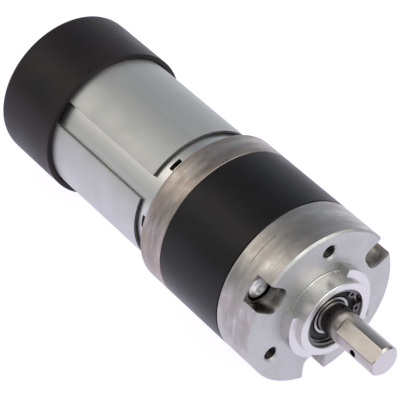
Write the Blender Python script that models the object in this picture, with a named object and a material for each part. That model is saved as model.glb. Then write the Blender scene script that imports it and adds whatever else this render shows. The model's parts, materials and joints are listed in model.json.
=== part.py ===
"""Geared DC motor: a brushed motor with a two-stage planetary gearbox, lying on its side.

Sizes are in millimetres and become metres when a mesh is made. Each piece is drawn in the
shaft's frame: z runs along the shaft towards its tip and is 0 at the mounting face, x points
right and y up. Clock angles start at y and turn towards x, as seen from the shaft's end.
"""

import math

import bmesh
import bpy
from mathutils import Matrix

MM = 0.001
GAP = 0.2
HOUSING_SIDES = 32
BORE_SIDES = 24
SMALL_SIDES = 12

# Stations along the shaft, from the tip to the back.
SHAFT_TIP = 22.3
NOSE_FRONT = 5.1
PILOT_FRONT = 2.9
FLANGE_BACK = -12.3
RING_BACK = -34.5
ADAPTER_BACK = -42.4
SLEEVE_FRONT = -47.8
SLEEVE_BACK = -92.0
CAP_FRONT = -82.5
CAN_BACK = -97.5
CAP_BACK = -103.4
TERMINAL_BACK = -108.4

# Radii of the housings.
GEARBOX_RADIUS = 21.0
NOSE_RADIUS = 10.0
PILOT_RADIUS = 12.0
CAN_RADIUS = 17.85
CAN_WALL = 0.9
WINDOW_ANGLES = (-26.5, -80, 153.5, 100)
WINDOW_WIDTH = 3.4
WINDOW_BACK = -46.2
WINDOW_FRONT = -44.9
SLEEVE_RADIUS = 18.77
SLEEVE_WALL = 0.72
CAP_RADIUS = 20.25
CAP_WALL = 1.25

# The front face: three tapped holes, and three screws in pockets halfway between them.
HOLE_ANGLES = (6, 126, 246)
SCREW_ANGLES = (65, 185, 305)
HOLE_CIRCLE_RADIUS = 16.0
HOLE_RADIUS = 1.65
HOLE_DEPTH = 8.0
FACE_CHAMFER = 0.6
SCREW_CIRCLE_RADIUS = 17.4
POCKET_WIDTH = 7.0
POCKET_CORNER = 2.7
POCKET_INNER_RADIUS = 14.5
POCKET_DEPTH = 5.2
SINK_RADIUS = 3.4
SINK_DEPTH = 7.3
PILOT_ANGLES = (70, 250)
PILOT_SPAN = 88.0

# Screws: M3 with pan heads.
CLEARANCE_RADIUS = 1.7
SHANK_RADIUS = 1.45
HEAD_RADIUS = 2.8
HEAD_HEIGHT = 2.2

# Bearings of the output shaft, 8 x 16 x 5.
SHAFT_RADIUS = 4.0
BEARING_RADIUS = 8.0
BEARING_WIDTH = 5.0
BEARING_BACKS = {"front": -1.6, "rear": -11.4}
BALLS = 8
RING_GAP_ANGLE = 75.0

# The flat on the output shaft, and the hole across it.
FLAT_DISTANCE = 3.5
FLAT_BACK = 9.3
FLAT_ANGLE = -38.5
CROSS_HOLE_RADIUS = 0.95
CROSS_HOLE_STATION = 15.7
CROSS_HOLE_ANGLE = -92.0

# Gears: both stages are alike.
MODULE = 0.6
PRESSURE_ANGLE = math.radians(20)
SUN_TEETH = 18
PLANET_TEETH = 15
RING_TEETH = 48
PLANETS = 3
TOOTH_THINNING = 0.06
CENTRE_DISTANCE = MODULE * (SUN_TEETH + PLANET_TEETH) / 2
PIN_RADIUS = 1.45
PLANET_BORE_RADIUS = 1.65
CARRIER_RADIUS = 13.2

# The motor's insides.
ROTOR_SHAFT_RADIUS = 2.0
CORE_RADIUS = 13.0
CORE_SLOTS = 5
COMMUTATOR_RADIUS = 4.5
MAGNET_SPAN = 130.0
MOTOR_SCREW_CIRCLE_RADIUS = 12.5
TERMINAL_OFFSET = 10.5

CAST_ZINC = ("cast_zinc", (0.31, 0.27, 0.24), 0.42, 0.9)
BLACK_OXIDE = ("black_oxide", (0.016, 0.014, 0.017), 0.38, 0.4)
BLACK_PLASTIC = ("black_plastic", (0.013, 0.012, 0.014), 0.45, 0.0)
PLATED_CAN = ("plated_can", (0.46, 0.46, 0.43), 0.3, 0.95)
PLATED_SLEEVE = ("plated_sleeve", (0.47, 0.47, 0.45), 0.33, 0.95)
GROUND_STEEL = ("ground_steel", (0.45, 0.40, 0.35), 0.25, 1.0)
GEAR_STEEL = ("gear_steel", (0.33, 0.32, 0.31), 0.35, 1.0)
BEARING_STEEL = ("bearing_steel", (0.55, 0.55, 0.55), 0.18, 1.0)
SCREW_STEEL = ("screw_steel", (0.6, 0.6, 0.6), 0.25, 1.0)
SPRING_STEEL = ("spring_steel", (0.2, 0.2, 0.2), 0.35, 0.9)
FERRITE = ("ferrite", (0.03, 0.03, 0.033), 0.6, 0.1)
CORE_STEEL = ("core_steel", (0.2, 0.21, 0.22), 0.5, 0.9)
COPPER = ("copper", (0.72, 0.26, 0.11), 0.35, 1.0)
BRONZE = ("bronze", (0.5, 0.33, 0.14), 0.45, 0.9)
CARBON = ("carbon", (0.04, 0.04, 0.04), 0.7, 0.0)
TIN = ("tin", (0.66, 0.65, 0.62), 0.3, 1.0)
NYLON = ("nylon", (0.6, 0.57, 0.5), 0.55, 0.0)
NITRILE = ("nitrile", (0.012, 0.012, 0.013), 0.6, 0.0)


# Outlines, as lists of (x, y).


def at_clock(radius, degrees):
    """The point at this radius and clock angle."""
    angle = math.radians(degrees)
    return radius * math.sin(angle), radius * math.cos(angle)


def polygon(radius, sides=SMALL_SIDES, centre=(0.0, 0.0)):
    """A regular polygon whose flats touch the circle, with flats facing x and y."""
    half = math.pi / sides
    corner = radius / math.cos(half)
    turns = [half * (2 * step + 1) for step in range(sides)]
    return [(centre[0] + corner * math.cos(t), centre[1] + corner * math.sin(t)) for t in turns]


def box_outline(left, right, low, high):
    return [(left, low), (right, low), (right, high), (left, high)]


def turned_outline(outline, degrees):
    """The outline turned clockwise by this clock angle."""
    turn = Matrix.Rotation(-math.radians(degrees), 2)
    return [(turn[0][0] * x + turn[0][1] * y, turn[1][0] * x + turn[1][1] * y) for x, y in outline]


def polygon_arc(radius, start, end, sides=HOUSING_SIDES):
    """The stretch of a polygon's edge between two clock angles, in degrees."""
    pitch = 360.0 / sides
    first = math.floor(start / pitch - 0.5) + 1
    corners = []
    while (first + 0.5) * pitch < end:
        corners.append((first + 0.5) * pitch)
        first += 1
    points = []
    for angle in [start, *corners, end]:
        off_flat = (angle + pitch / 2) % pitch - pitch / 2
        points.append(at_clock(radius / math.cos(math.radians(off_flat)), angle))
    return points


def sector(inner, outer, start, end, sides=HOUSING_SIDES):
    """A piece of a ring between two radii and two clock angles."""
    return polygon_arc(outer, start, end, sides) + polygon_arc(inner, start, end, sides)[::-1]


def involute(radius, base):
    """How far an involute has turned at this radius."""
    tangent = math.sqrt(max((radius / base) ** 2 - 1, 0.0))
    return tangent - math.atan(tangent)


def gear_outline(teeth, radii, thickening=0.0, turn=0.0):
    """Tooth outline through the given radii, with the first tooth centred on the x axis."""
    pitch_radius = MODULE * teeth / 2
    base = pitch_radius * math.cos(PRESSURE_ANGLE)
    half = math.pi / (2 * teeth) + thickening / (2 * pitch_radius)
    offsets = [(r, half + involute(pitch_radius, base) - involute(r, base)) for r in radii]
    flanks = [(r, -a) for r, a in offsets] + [(r, a) for r, a in reversed(offsets)]
    points = []
    for tooth in range(teeth):
        centre = turn + 2 * math.pi * tooth / teeth
        points += [(r * math.cos(centre + a), r * math.sin(centre + a)) for r, a in flanks]
    return points


def outer_gear(teeth, turn=0.0):
    """A sun's or a planet's outline: root, base circle and tip on each flank."""
    pitch_radius = MODULE * teeth / 2
    base = pitch_radius * math.cos(PRESSURE_ANGLE)
    radii = (pitch_radius - 1.25 * MODULE, base + 0.05 * MODULE, pitch_radius + 0.92 * MODULE)
    return gear_outline(teeth, radii, -TOOTH_THINNING, turn)


def planet_angle(index):
    """A planet's place round the shaft, turning from x towards y."""
    return math.pi / 2 + 2 * math.pi * index / PLANETS


def planet_centre(index):
    angle = planet_angle(index)
    return CENTRE_DISTANCE * math.cos(angle), CENTRE_DISTANCE * math.sin(angle)


# Solids.


def add_object(name, shape, frame):
    """An object under the shaft's frame, from a bmesh in millimetres."""
    bmesh.ops.recalc_face_normals(shape, faces=shape.faces)
    bmesh.ops.scale(shape, vec=(MM, MM, MM), verts=shape.verts)
    mesh = bpy.data.meshes.new(name)
    shape.to_mesh(mesh)
    shape.free()
    mesh.shade_smooth()
    mesh.set_sharp_from_angle(angle=math.radians(32))
    made = bpy.data.objects.new(name, mesh)
    made.parent = frame
    bpy.context.scene.collection.objects.link(made)
    return made


def extrude_loops(shape, loops, back, front):
    """Adds a flat plate: the first loop is its edge, and the others are holes in it."""
    edges = []
    for loop in loops:
        points = [shape.verts.new((x, y, back)) for x, y in loop]
        edges += [shape.edges.new((points[i - 1], points[i])) for i in range(len(points))]
    filled = bmesh.ops.triangle_fill(shape, edges=edges, use_beauty=True)["geom"]
    faces = [item for item in filled if isinstance(item, bmesh.types.BMFace)]
    raised = bmesh.ops.extrude_face_region(shape, geom=faces)["geom"]
    points = [item for item in raised if isinstance(item, bmesh.types.BMVert)]
    bmesh.ops.translate(shape, vec=(0, 0, front - back), verts=points)


def plate(name, loops, back, front, frame):
    shape = bmesh.new()
    extrude_loops(shape, loops, back, front)
    return add_object(name, shape, frame)


def prisms(name, outlines, back, front, frame):
    """Several separate prisms in one mesh, which only a cutter may have."""
    shape = bmesh.new()
    for outline in outlines:
        extrude_loops(shape, [outline], back, front)
    return add_object(name, shape, frame)


def lathe(name, profile, sides, frame):
    """A turned solid from a closed profile of (radius, z)."""
    shape = bmesh.new()
    half = math.pi / sides
    rings = []
    for step in range(sides):
        angle = half * (2 * step + 1)
        across, up = math.cos(angle) / math.cos(half), math.sin(angle) / math.cos(half)
        rings.append([shape.verts.new((r * across, r * up, z)) for r, z in profile])
    for step in range(sides):
        near, far = rings[step - 1], rings[step]
        for i in range(len(profile)):
            shape.faces.new((near[i - 1], near[i], far[i], far[i - 1]))
    bmesh.ops.remove_doubles(shape, verts=shape.verts, dist=1e-5)
    return add_object(name, shape, frame)


def tube(name, inner, outer, back, front, frame, sides=BORE_SIDES):
    profile = [(inner, back), (outer, back), (outer, front), (inner, front)]
    return lathe(name, profile, sides, frame)


def paint(made, finish):
    """Gives the object its own Principled material."""
    name, colour, roughness, metallic = finish
    material = bpy.data.materials.new(f"{made.name}_{name}")
    material.use_nodes = True
    shader = material.node_tree.nodes["Principled BSDF"]
    shader.inputs["Base Color"].default_value = (*colour, 1.0)
    shader.inputs["Roughness"].default_value = roughness
    shader.inputs["Metallic"].default_value = metallic
    made.data.materials.append(material)
    return made


def boolean(made, helper, operation="DIFFERENCE"):
    """Cuts with, or adds, a helper that isn't itself a piece."""
    helper.hide_render = True
    helper.display_type = "WIRE"
    modifier = made.modifiers.new(helper.name, "BOOLEAN")
    modifier.operation = operation
    modifier.object = helper


def round_holes(name, radius, centres, back, front, frame):
    return prisms(name, [polygon(radius, centre=c) for c in centres], back, front, frame)


# The gearbox housing.


def screw_centres():
    return [at_clock(SCREW_CIRCLE_RADIUS, angle) for angle in SCREW_ANGLES]


def pocket_outline(angle):
    """A U-shaped pocket that is open at the rim, with rounded inner corners."""
    half = POCKET_WIDTH / 2
    outline = [(half, GEARBOX_RADIUS + 3)]
    for step in range(4):
        turn = math.radians(30 * step)
        across = half - POCKET_CORNER * (1 - math.cos(turn))
        outline.append((across, POCKET_INNER_RADIUS + POCKET_CORNER * (1 - math.sin(turn))))
    outline += [(-x, y) for x, y in reversed(outline)]
    return turned_outline(outline, angle)


def front_flange(frame):
    """The die-cast front: mounting face, pilot, nose and both bearing seats."""
    seat = BEARING_RADIUS
    web = BEARING_RADIUS - 1.5
    front_seat = BEARING_BACKS["front"] - GAP
    rear_seat = BEARING_BACKS["rear"] + BEARING_WIDTH + GAP
    groove = BEARING_BACKS["front"] + BEARING_WIDTH
    chamfer = FACE_CHAMFER
    profile = [(seat, NOSE_FRONT), (NOSE_RADIUS, NOSE_FRONT), (NOSE_RADIUS, 0)]
    profile += [(GEARBOX_RADIUS - chamfer, 0), (GEARBOX_RADIUS, -chamfer), (GEARBOX_RADIUS, FLANGE_BACK)]
    profile += [(seat, FLANGE_BACK), (seat, rear_seat), (web, rear_seat), (web, front_seat)]
    profile += [(seat, front_seat), (seat, groove), (seat + 0.5, groove)]
    profile += [(seat + 0.5, groove + 1.0), (seat, groove + 1.0)]
    flange = paint(lathe("front_flange", profile, HOUSING_SIDES, frame), CAST_ZINC)
    half_span = PILOT_SPAN / 2
    arcs = [sector(NOSE_RADIUS - 0.6, PILOT_RADIUS, a - half_span, a + half_span) for a in PILOT_ANGLES]
    boolean(flange, prisms("pilot_segments", arcs, -0.6, PILOT_FRONT, frame), "UNION")
    pockets = [pocket_outline(angle) for angle in SCREW_ANGLES]
    boolean(flange, prisms("screw_pockets", pockets, -POCKET_DEPTH, 1, frame))
    boolean(flange, round_holes("head_sinks", SINK_RADIUS, screw_centres(), -SINK_DEPTH, -3, frame))
    radius = CLEARANCE_RADIUS
    boolean(flange, round_holes("screw_clearance", radius, screw_centres(), FLANGE_BACK - 1, -7, frame))
    tapped = [at_clock(HOLE_CIRCLE_RADIUS, angle) for angle in HOLE_ANGLES]
    boolean(flange, round_holes("mounting_holes", HOLE_RADIUS, tapped, -HOLE_DEPTH, 1, frame))


def ring_gear(frame):
    """The outer ring, which both stages share, with its teeth cut right through."""
    pitch_radius = MODULE * RING_TEETH / 2
    radii = (pitch_radius - 0.8 * MODULE, pitch_radius + 1.25 * MODULE)
    teeth = gear_outline(RING_TEETH, radii, TOOTH_THINNING, planet_angle(0))
    holes = [polygon(CLEARANCE_RADIUS, centre=centre) for centre in screw_centres()]
    loops = [polygon(GEARBOX_RADIUS, HOUSING_SIDES), teeth, *holes]
    paint(plate("ring_gear", loops, RING_BACK + GAP, FLANGE_BACK - GAP, frame), BLACK_OXIDE)


def motor_screw_centres():
    return [(side * MOTOR_SCREW_CIRCLE_RADIUS, 0.0) for side in (-1, 1)]


def motor_adapter(frame):
    """The die-cast plate between the gearbox and the motor."""
    name = "motor_adapter"
    adapter = tube(name, 5.0, GEARBOX_RADIUS, ADAPTER_BACK, RING_BACK, frame, HOUSING_SIDES)
    paint(adapter, CAST_ZINC)
    radius, through, front = CLEARANCE_RADIUS, motor_screw_centres(), RING_BACK + 1
    boolean(adapter, round_holes("blind_holes", radius, screw_centres(), RING_BACK - 6.5, front, frame))
    boolean(adapter, round_holes("adapter_holes", radius, through, ADAPTER_BACK - 1, front, frame))
    boolean(adapter, round_holes("adapter_sinks", SINK_RADIUS, through, RING_BACK - 2.7, front, frame))


def screw(name, centre, seat, tip, frame):
    """A pan-head screw that points away from the shaft's tip."""
    top = seat + HEAD_HEIGHT
    profile = [(0, top), (HEAD_RADIUS - 0.5, top), (HEAD_RADIUS, top - 0.6), (HEAD_RADIUS, seat)]
    profile += [(SHANK_RADIUS, seat), (SHANK_RADIUS, tip), (0, tip)]
    made = paint(lathe(name, profile, SMALL_SIDES, frame), SCREW_STEEL)
    made.location = (centre[0] * MM, centre[1] * MM, 0)


def screws(frame):
    for letter, centre in zip("abc", screw_centres()):
        screw(f"housing_screw_{letter}", centre, GAP - SINK_DEPTH, RING_BACK - 6.0, frame)
    for letter, centre in zip("ab", motor_screw_centres()):
        screw(f"motor_screw_{letter}", centre, RING_BACK - 2.5, -46.5, frame)


# The output shaft and its bearings.


def ball_ring_outline(radius, direction):
    """One edge of a cage that swells at each ball."""
    points = []
    for step in range(BALLS * 4):
        swell = (0.0, 0.35, 0.5, 0.35)[step % 4]
        angle = 2 * math.pi * step / (BALLS * 4)
        reach = radius + direction * swell
        points.append((reach * math.cos(angle), reach * math.sin(angle)))
    return points


def output_bearing(place, frame):
    back = BEARING_BACKS[place]
    front = back + BEARING_WIDTH
    outer = BEARING_RADIUS - GAP
    paint(tube(f"{place}_bearing_outer_ring", 6.9, outer, back, front, frame), BEARING_STEEL)
    inner = SHAFT_RADIUS + GAP
    paint(tube(f"{place}_bearing_inner_ring", inner, 5.0, back, front, frame), BEARING_STEEL)
    loops = [ball_ring_outline(6.2, 1), ball_ring_outline(5.75, -1)]
    paint(plate(f"{place}_ball_cage", loops, back + 0.9, front - 0.9, frame), BEARING_STEEL)


def output_shaft(frame):
    """The shaft, with a drive flat and a hole across it."""
    profile = [(0, -16.4), (SHAFT_RADIUS, -16.4), (SHAFT_RADIUS, SHAFT_TIP - 0.5)]
    profile += [(SHAFT_RADIUS - 0.5, SHAFT_TIP), (0, SHAFT_TIP)]
    shaft = paint(lathe("output_shaft", profile, BORE_SIDES, frame), GROUND_STEEL)
    waste = turned_outline(box_outline(-6, 6, FLAT_DISTANCE, FLAT_DISTANCE + 4), FLAT_ANGLE)
    boolean(shaft, prisms("shaft_flat", [waste], FLAT_BACK, SHAFT_TIP + 1, frame))
    drill = prisms("cross_hole", [polygon(CROSS_HOLE_RADIUS)], -6, 6, frame)
    drill.rotation_euler = (math.radians(90), 0, math.radians(-CROSS_HOLE_ANGLE))
    drill.location = (0, 0, CROSS_HOLE_STATION * MM)
    boolean(shaft, drill)


def retaining_ring(frame):
    """The circlip in the nose, with an ear on each side of its gap."""
    back = BEARING_BACKS["front"] + BEARING_WIDTH + 0.1
    gap_start, gap_end = RING_GAP_ANGLE - 12, RING_GAP_ANGLE + 12
    ring = plate("retaining_ring", [sector(7.1, 8.3, gap_end, gap_start + 360)], back, back + 0.8, frame)
    paint(ring, SPRING_STEEL)
    ears = [sector(5.9, 7.6, gap_end + 1, gap_end + 20)]
    ears.append(sector(5.9, 7.6, gap_start + 340, gap_start + 359))
    boolean(ring, prisms("ring_ears", ears, back + 0.1, back + 0.7, frame), "UNION")


# The gear train.


def carrier(name, bore, back, front, frame):
    """A planet carrier's disc."""
    holes = [polygon(PIN_RADIUS + GAP, centre=planet_centre(i)) for i in range(PLANETS)]
    loops = [polygon(CARRIER_RADIUS, BORE_SIDES), polygon(bore, BORE_SIDES), *holes]
    return paint(plate(name, loops, back, front, frame), GEAR_STEEL)


def pins(stage, back, front, frame):
    for index in range(PLANETS):
        pin = plate(f"{stage}_pin_{'abc'[index]}", [polygon(PIN_RADIUS)], back, front, frame)
        paint(pin, GROUND_STEEL)
        x, y = planet_centre(index)
        pin.location = (x * MM, y * MM, 0)


def planets(stage, back, front, frame):
    """The planets, each with a tooth towards the ring gear."""
    for index in range(PLANETS):
        loops = [outer_gear(PLANET_TEETH, planet_angle(index)), polygon(PLANET_BORE_RADIUS)]
        planet = plate(f"{stage}_planet_{'abc'[index]}", loops, back, front, frame)
        paint(planet, GEAR_STEEL)
        x, y = planet_centre(index)
        planet.location = (x * MM, y * MM, 0)


def gear_train(frame):
    """Rotor pinion, first stage, second stage and output carrier, from back to front."""
    shape = [outer_gear(SUN_TEETH, planet_angle(0)), polygon(ROTOR_SHAFT_RADIUS + GAP, BORE_SIDES)]
    paint(plate("rotor_pinion", shape, -33.9, -27.7, frame), GEAR_STEEL)
    planets("first", -33.0, -27.7, frame)
    pins("first", -33.1, -25.8, frame)
    carrier("first_carrier", 3.2, -27.2, -25.7, frame)
    sun = plate("second_sun", [outer_gear(SUN_TEETH, planet_angle(0))], -25.4, -16.9, frame)
    paint(sun, GEAR_STEEL)
    spigot = prisms("sun_spigot", [polygon(3.0, BORE_SIDES)], -27.1, -24.8, frame)
    boolean(sun, spigot, "UNION")
    planets("second", -24.8, -17.0, frame)
    pins("output", -24.9, -13.2, frame)
    carrier("output_carrier", SHAFT_RADIUS + GAP, -16.6, -13.0, frame)
    paint(tube("stop_washer", 6.4, 13.5, -34.1, -33.3, frame), GEAR_STEEL)


# The motor.


def motor_can(frame):
    """The drawn can, with windows behind its front wall."""
    front = ADAPTER_BACK - GAP
    inner = CAN_RADIUS - CAN_WALL
    profile = [(4.2, front), (CAN_RADIUS, front), (CAN_RADIUS, CAN_BACK), (inner, CAN_BACK)]
    profile += [(inner, front - 1.4), (4.2, front - 1.4)]
    can = paint(lathe("motor_can", profile, HOUSING_SIDES, frame), PLATED_CAN)
    through = motor_screw_centres()
    boolean(can, round_holes("can_holes", CLEARANCE_RADIUS, through, front - 2, front + 1, frame))
    window = box_outline(-WINDOW_WIDTH / 2, WINDOW_WIDTH / 2, CAN_RADIUS - 3, CAN_RADIUS + 2)
    windows = [turned_outline(window, angle) for angle in WINDOW_ANGLES]
    boolean(can, prisms("can_windows", windows, WINDOW_BACK, WINDOW_FRONT, frame))


def flux_sleeve(frame):
    """The rolled steel sleeve, whose ends leave a gap along the can."""
    outline = sector(SLEEVE_RADIUS - SLEEVE_WALL, SLEEVE_RADIUS, -43.6, 296.5)
    paint(plate("flux_sleeve", [outline], SLEEVE_BACK, SLEEVE_FRONT, frame), PLATED_SLEEVE)


def magnets(frame):
    for letter, middle in (("a", 90), ("b", 270)):
        start = middle - MAGNET_SPAN / 2
        outline = sector(13.6, CAN_RADIUS - CAN_WALL - GAP, start, start + MAGNET_SPAN, BORE_SIDES)
        paint(plate(f"magnet_{letter}", [outline], -84, -52, frame), FERRITE)


def core_outline():
    """Armature poles with narrow slots between them."""
    points = []
    pitch = 360 / CORE_SLOTS
    for pole in range(CORE_SLOTS):
        middle = pole * pitch
        points += [at_clock(6.0, middle - 0.5 * pitch), at_clock(11.3, middle - 24)]
        points += [at_clock(CORE_RADIUS, middle + turn) for turn in (-32, -16, 0, 16, 32)]
        points += [at_clock(11.3, middle + 24)]
    return points


def rotor(frame):
    """The armature on its shaft."""
    bore = ROTOR_SHAFT_RADIUS + GAP
    profile = [(0, -100.6), (ROTOR_SHAFT_RADIUS, -100.6), (ROTOR_SHAFT_RADIUS, -27.8), (0, -27.8)]
    paint(lathe("rotor_shaft", profile, SMALL_SIDES, frame), GROUND_STEEL)
    core = plate("armature_core", [core_outline(), polygon(bore, SMALL_SIDES)], -82, -56, frame)
    paint(core, CORE_STEEL)
    for place, back, front in (("front", -55.8, -50.5), ("rear", -87.5, -82.2)):
        middle = (back + front) / 2
        profile = [(6.5, back), (10.5, back), (12.3, middle), (10.5, front), (6.5, front)]
        paint(lathe(f"{place}_winding", profile, 20, frame), COPPER)
    paint(tube("commutator", bore, COMMUTATOR_RADIUS, -94.4, -88.8, frame, SMALL_SIDES), COPPER)


def mirrored(outline, side):
    return [(side * x, y) for x, y in outline]


def brush_plate(frame):
    """The insulating rear plate, which holds both brushes, the rear bush and the terminals."""
    outer = CAN_RADIUS - CAN_WALL - GAP
    profile = [(4.7, -99.7), (6.5, -99.7), (6.5, -97.3), (outer, -97.3), (outer, -95.3), (4.7, -95.3)]
    holder = paint(lathe("brush_plate", profile, BORE_SIDES, frame), NYLON)
    blocks = [mirrored(box_outline(5.4, 13.4, -2.9, 2.9), side) for side in (-1, 1)]
    boolean(holder, prisms("brush_boxes", blocks, -95.6, -89.0, frame), "UNION")
    channels = [mirrored(box_outline(4.9, 12.6, -1.75, 1.75), side) for side in (-1, 1)]
    boolean(holder, prisms("brush_channels", channels, -94.2, -88.0, frame))
    slots = [terminal_outline(side, 0.2) for side in (-1, 1)]
    boolean(holder, prisms("plate_slots", slots, -98.5, -93.5, frame))


def terminal_outline(side, margin=0.0):
    """A blade's section, or a slot round it."""
    x = TERMINAL_OFFSET
    return mirrored(box_outline(x - 0.3 - margin, x + 0.3 + margin, -1.4 - margin, 1.4 + margin), side)


def terminals(frame):
    for letter, side in (("a", -1), ("b", 1)):
        blade = plate(f"terminal_{letter}", [terminal_outline(side)], TERMINAL_BACK, -94.6, frame)
        paint(blade, TIN)
        eye = prisms(f"terminal_eye_{letter}", [polygon(0.6, 8)], -2, 2, frame)
        eye.rotation_euler = (0, math.radians(90), 0)
        eye.location = (side * TERMINAL_OFFSET * MM, 0, (TERMINAL_BACK + 1.6) * MM)
        boolean(blade, eye)


def spring_outline(side):
    """A bowed strip between the back of a brush and the end of its channel."""
    turns = [math.radians(30 + 30 * step) for step in range(11)]
    outer = [(11.05 + 1.5 * math.cos(t), 1.5 * math.sin(t)) for t in turns]
    inner = [(11.05 + 1.15 * math.cos(t), 1.15 * math.sin(t)) for t in reversed(turns)]
    return mirrored(outer + inner, side)


def brushes(frame):
    """Carbon brushes, each pushed inwards by a bowed leaf spring."""
    for letter, side in (("a", -1), ("b", 1)):
        brush = mirrored(box_outline(4.85, 9.2, -1.5, 1.5), side)
        paint(plate(f"brush_{letter}", [brush], -93.6, -90.0, frame), CARBON)
        spring = plate(f"brush_spring_{letter}", [spring_outline(side)], -93.2, -90.4, frame)
        paint(spring, SPRING_STEEL)


def rear_cap(frame):
    """The moulded cover over the brush end, with a slot for each terminal."""
    inner = CAP_RADIUS - CAP_WALL
    profile = [(0, CAP_BACK), (CAP_RADIUS - 0.8, CAP_BACK), (CAP_RADIUS, CAP_BACK + 0.8)]
    profile += [(CAP_RADIUS, CAP_FRONT), (inner, CAP_FRONT), (inner, CAP_BACK + 1.6), (0, CAP_BACK + 1.6)]
    cap = paint(lathe("rear_cap", profile, HOUSING_SIDES, frame), BLACK_PLASTIC)
    slots = [terminal_outline(side, 0.25) for side in (-1, 1)]
    boolean(cap, prisms("cap_slots", slots, CAP_BACK - 1, CAP_BACK + 3, frame))


def shaft_frame():
    """The empty that lays the shaft's frame on its side, above the floor."""
    frame = bpy.data.objects.new("shaft_frame", None)
    frame.rotation_euler = (math.radians(90), 0, 0)
    middle = (SHAFT_TIP + TERMINAL_BACK) / 2
    frame.location = (0, middle * MM, GEARBOX_RADIUS * MM)
    bpy.context.scene.collection.objects.link(frame)
    return frame


def main():
    for old in list(bpy.data.objects):
        bpy.data.objects.remove(old)
    frame = shaft_frame()
    front_flange(frame)
    ring_gear(frame)
    motor_adapter(frame)
    screws(frame)
    output_shaft(frame)
    for place in BEARING_BACKS:
        output_bearing(place, frame)
    paint(tube("front_bearing_seal", 5.3, 6.7, 2.6, 3.2, frame), NITRILE)
    retaining_ring(frame)
    gear_train(frame)
    motor_can(frame)
    flux_sleeve(frame)
    magnets(frame)
    rotor(frame)
    brush_plate(frame)
    terminals(frame)
    brushes(frame)
    paint(tube("rear_bush", ROTOR_SHAFT_RADIUS + GAP, 4.5, -99.5, -95.0, frame, SMALL_SIDES), BRONZE)
    paint(tube("front_bush", ROTOR_SHAFT_RADIUS + GAP, 4.0, -46.0, -42.7, frame, SMALL_SIDES), BRONZE)
    rear_cap(frame)


main()
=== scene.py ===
import json
import math

import bmesh
import bpy
from mathutils import Matrix, Vector


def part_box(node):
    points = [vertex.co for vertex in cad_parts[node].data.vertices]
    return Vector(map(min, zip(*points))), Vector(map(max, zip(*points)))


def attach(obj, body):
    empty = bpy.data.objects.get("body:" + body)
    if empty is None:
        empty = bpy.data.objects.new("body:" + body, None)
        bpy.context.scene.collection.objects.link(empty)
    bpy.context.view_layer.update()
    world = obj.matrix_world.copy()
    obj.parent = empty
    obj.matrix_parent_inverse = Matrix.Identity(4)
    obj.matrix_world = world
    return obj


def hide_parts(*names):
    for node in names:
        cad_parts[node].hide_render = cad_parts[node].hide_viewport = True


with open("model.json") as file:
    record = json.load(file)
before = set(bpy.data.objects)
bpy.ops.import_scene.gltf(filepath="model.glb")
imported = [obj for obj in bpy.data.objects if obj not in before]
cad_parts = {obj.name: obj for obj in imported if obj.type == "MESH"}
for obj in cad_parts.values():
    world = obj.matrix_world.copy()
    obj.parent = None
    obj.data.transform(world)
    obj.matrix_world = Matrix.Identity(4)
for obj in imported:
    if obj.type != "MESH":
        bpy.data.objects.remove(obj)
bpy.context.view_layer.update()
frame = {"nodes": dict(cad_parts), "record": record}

# Every piece is drawn in millimetres in the shaft's frame: z runs along the shaft towards its
# tip and is 0 at the mounting face, x points right and y up. Clock angles start at y and turn
# towards x, as seen from the shaft's end.
MM = 0.001
SIDES = 192
BORE_SIDES = 72
ARC_PITCH = 1.5

# How far a cutter reaches past the surface that it cuts, in millimetres.
CUT_PAST = 1


def mount_position(name):
    return next(m["pos_m"] for m in frame["record"]["mounts"] if m["name"] == name)


def middle_height(node):
    low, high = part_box(node)
    return (low.z + high.z) / 2


FACE_Y = mount_position("mounting_face")[1]
AXIS_Z = middle_height("ring_gear")
TO_ROW_FRAME = Matrix(((MM, 0, 0, 0), (0, 0, -MM, FACE_Y), (0, MM, 0, AXIS_Z), (0, 0, 0, 1)))


def stations(node):
    """The back and front of a CAD node along the shaft, in millimetres."""
    low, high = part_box(node)
    return (FACE_Y - high.y) / MM, (FACE_Y - low.y) / MM


def radius_of(node):
    """The largest radius of a CAD node that turns on the shaft's axis."""
    low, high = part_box(node)
    return (high.x - low.x) / 2 / MM


FLANGE_BACK, NOSE_FRONT = stations("front_flange")
RING_BACK, RING_FRONT = stations("ring_gear")
ADAPTER_BACK, ADAPTER_FRONT = stations("motor_adapter")
CAN_BACK, CAN_FRONT = stations("motor_can")
SLEEVE_BACK, SLEEVE_FRONT = stations("flux_sleeve")
CAP_BACK, CAP_FRONT = stations("rear_cap")
SHAFT_BACK, SHAFT_TIP = stations("output_shaft")
BEARING_BACK, BEARING_FRONT = stations("front_bearing_outer_ring")
TERMINAL_BACK, TERMINAL_FRONT = stations("terminal_a")
GEARBOX_RADIUS = radius_of("ring_gear")
CAN_RADIUS = radius_of("motor_can")
SLEEVE_RADIUS = radius_of("flux_sleeve")
CAP_RADIUS = radius_of("rear_cap")

# The front of the gearbox: a nose and a pilot boss in two segments, three tapped holes, and three
# screw pockets with a sink for each screw's head. The pilot's segments run into the nose by
# PILOT_OVERLAP and into the face as far as PILOT_ROOT.
NOSE_RADIUS = 10.0
PILOT_RADIUS = 12.0
PILOT_FRONT = 2.9
PILOT_ANGLES = (70, 250)
PILOT_SPAN = 88
PILOT_OVERLAP = 0.8
PILOT_ROOT = -0.6
HOLE_ANGLES = (6, 126, 246)
HOLE_CIRCLE_RADIUS = 16.0
HOLE_DEPTH = 8.0
THREAD_MINOR_RADIUS = 1.65
THREAD_MAJOR_RADIUS = 1.98
THREAD_PITCH = 0.7
POCKET_WIDTH = 7.0
POCKET_INNER_RADIUS = 14.5
POCKET_CORNER = 2.7
POCKET_DEPTH = 5.2
SINK_RADIUS = 3.4
SINK_DEPTH = 7.3
SINK_TOP = -3.0
CLEARANCE_RADIUS = 1.7
PARTING_BACK = -8.75
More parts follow.
